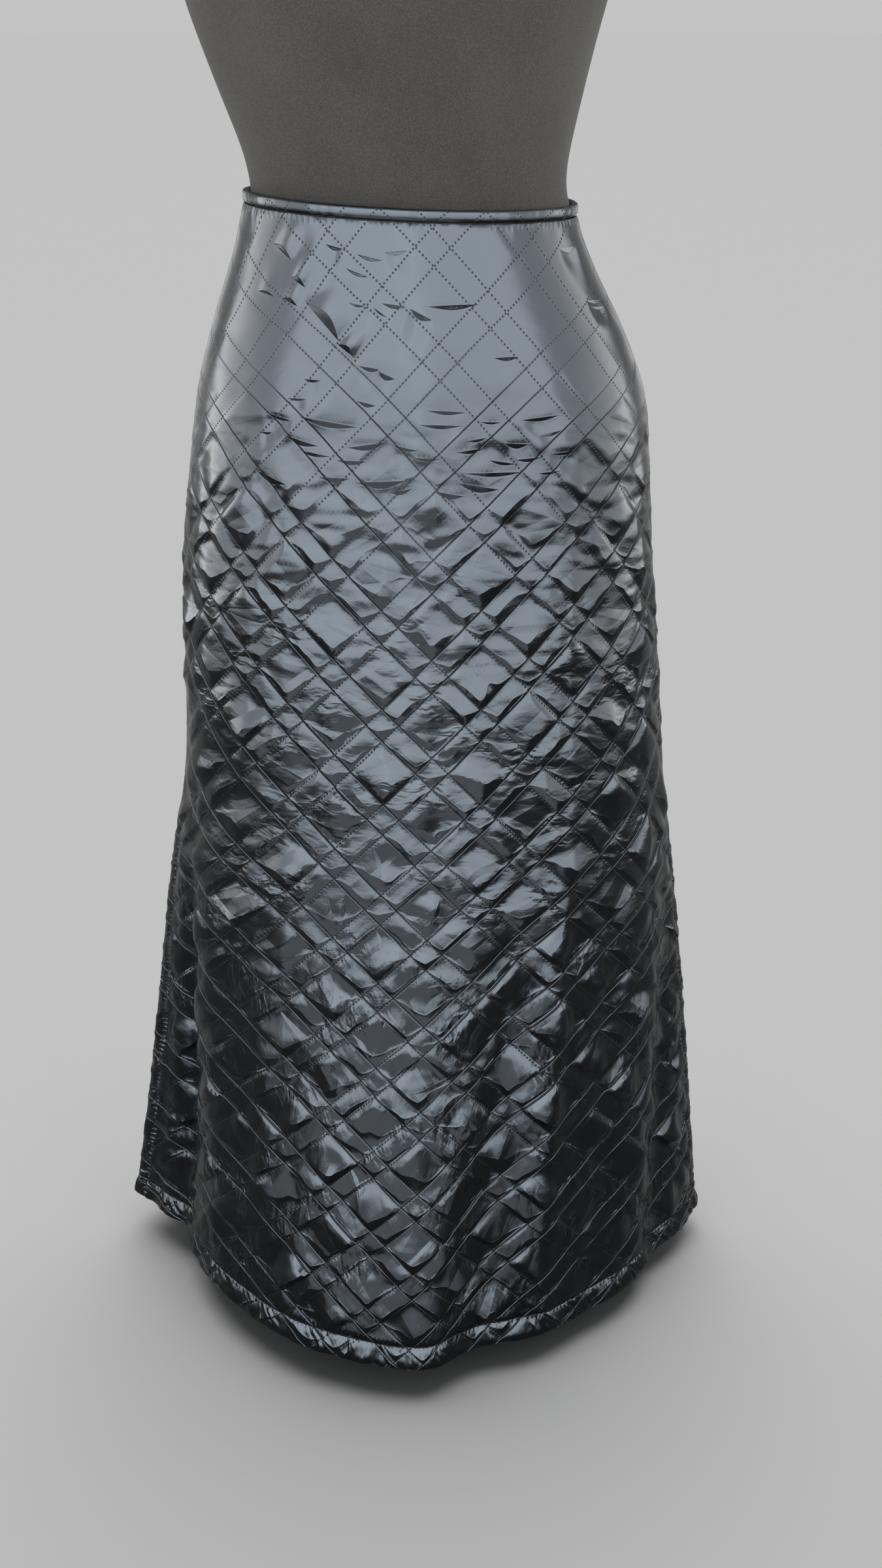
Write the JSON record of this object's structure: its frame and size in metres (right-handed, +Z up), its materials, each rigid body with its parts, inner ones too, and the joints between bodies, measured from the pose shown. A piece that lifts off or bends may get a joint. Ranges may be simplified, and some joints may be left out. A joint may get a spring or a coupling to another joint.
{
  "type": "quilted maxi skirt on a dress form",
  "caption": "Ankle-length A-line skirt of diamond-quilted nylon with a narrow waist binding and side slits, standing on a smooth limbless dress form with a round base.",
  "frame": {"origin": "centre of the round base's underside, on the floor under the pole", "axes": "+Z up along the pole, the wearer's front faces -Y, the wearer's left is +X"},
  "size_m": [0.543, 0.4472, 1.44],
  "materials": {
    "quilted_nylon": "dark slate-blue nylon with a soft satin sheen, quilted in diamonds",
    "waist_binding": "the same nylon, folded and topstitched",
    "turned_edge": "the same nylon, single layer turned inside",
    "jersey": "matt dark grey-brown knit stretched over a firm body",
    "stand_black": "black satin powder coat",
    "stand_steel": "brushed steel tube"
  },
  "bodies": {
    "root": {"front_panel": "quilted_nylon", "back_panel": "quilted_nylon", "waist_band": "waist_binding", "front_hem": "turned_edge", "back_hem": "turned_edge", "front_slit_left": "turned_edge", "front_slit_right": "turned_edge", "back_slit_left": "turned_edge", "back_slit_right": "turned_edge", "torso": "jersey", "neck_cap": "stand_black", "pole": "stand_steel", "base": "stand_black"}
  },
  "joints": []
}
